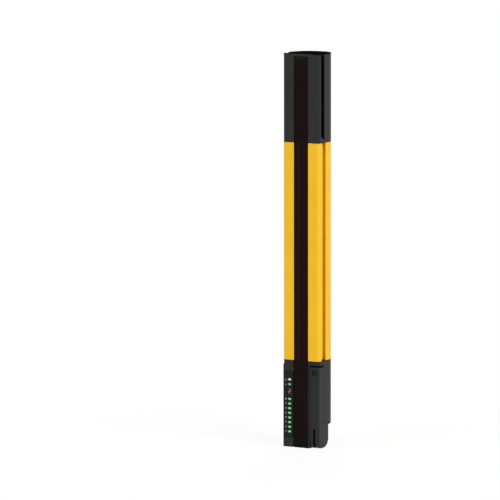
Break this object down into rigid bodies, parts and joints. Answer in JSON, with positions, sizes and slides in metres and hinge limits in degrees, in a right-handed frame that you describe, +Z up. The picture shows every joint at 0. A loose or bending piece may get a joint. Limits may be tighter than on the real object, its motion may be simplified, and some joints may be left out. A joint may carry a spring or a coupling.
{
  "type": "safety light curtain",
  "caption": "Slim bar receiver of a safety light curtain: yellow profile, dark front window, black end cap, and a black base with zone lights and a plug.",
  "frame": {"origin": "middle of the base of the bar's overall box", "axes": "+Z up along the bar; the front window faces -Y; +X is to the right as seen from the front"},
  "size_m": [0.028, 0.026, 0.27],
  "materials": {
    "yellow_coat": "fine powder coat, semi-gloss",
    "black_housing": "fine moulded texture, satin",
    "window_tint": "deep red-black tinted acrylic, gloss",
    "cover_black": "smoked film, satin",
    "amber_light": "lit amber-white light pipe",
    "green_light": "lit green light pipe",
    "digit_face": "dark red digit window",
    "screw_steel": "turned steel",
    "screw_black": "black oxide",
    "seal_rubber": "matt rubber",
    "lens_clear": "clear moulded lenses",
    "chassis_black": "matt black moulding",
    "board_green": "solder mask",
    "chip_black": "moulded package",
    "contact_gold": "plated contacts"
  },
  "bodies": {
    "root": {"housing_profile": "yellow_coat", "front_window": "window_tint", "window_gasket": "seal_rubber", "top_end_cap": "black_housing", "top_gasket": "seal_rubber", "bottom_gasket": "seal_rubber", "cap_screw": "screw_black", "rear_shell": "black_housing", "front_shell": "black_housing", "display_cover": "cover_black", "status_light_amber": "amber_light", "status_light_green": "green_light", "zone_light_guide": "green_light", "digit_display": "digit_face", "display_leds": "lens_clear", "display_board": "board_green", "board_connector": "chip_black", "disconnect_plug": "black_housing", "captive_screw": "screw_black", "plug_seal": "seal_rubber", "plug_contacts": "contact_gold", "socket_block": "chip_black", "contact_pins": "contact_gold", "optics_chassis": "chassis_black", "lens_strip": "lens_clear", "receiver_board": "board_green", "photodiodes": "chip_black", "processor_chips": "chip_black", "shell_screws": "screw_steel", "ground_clip": "screw_steel"}
  },
  "joints": []
}
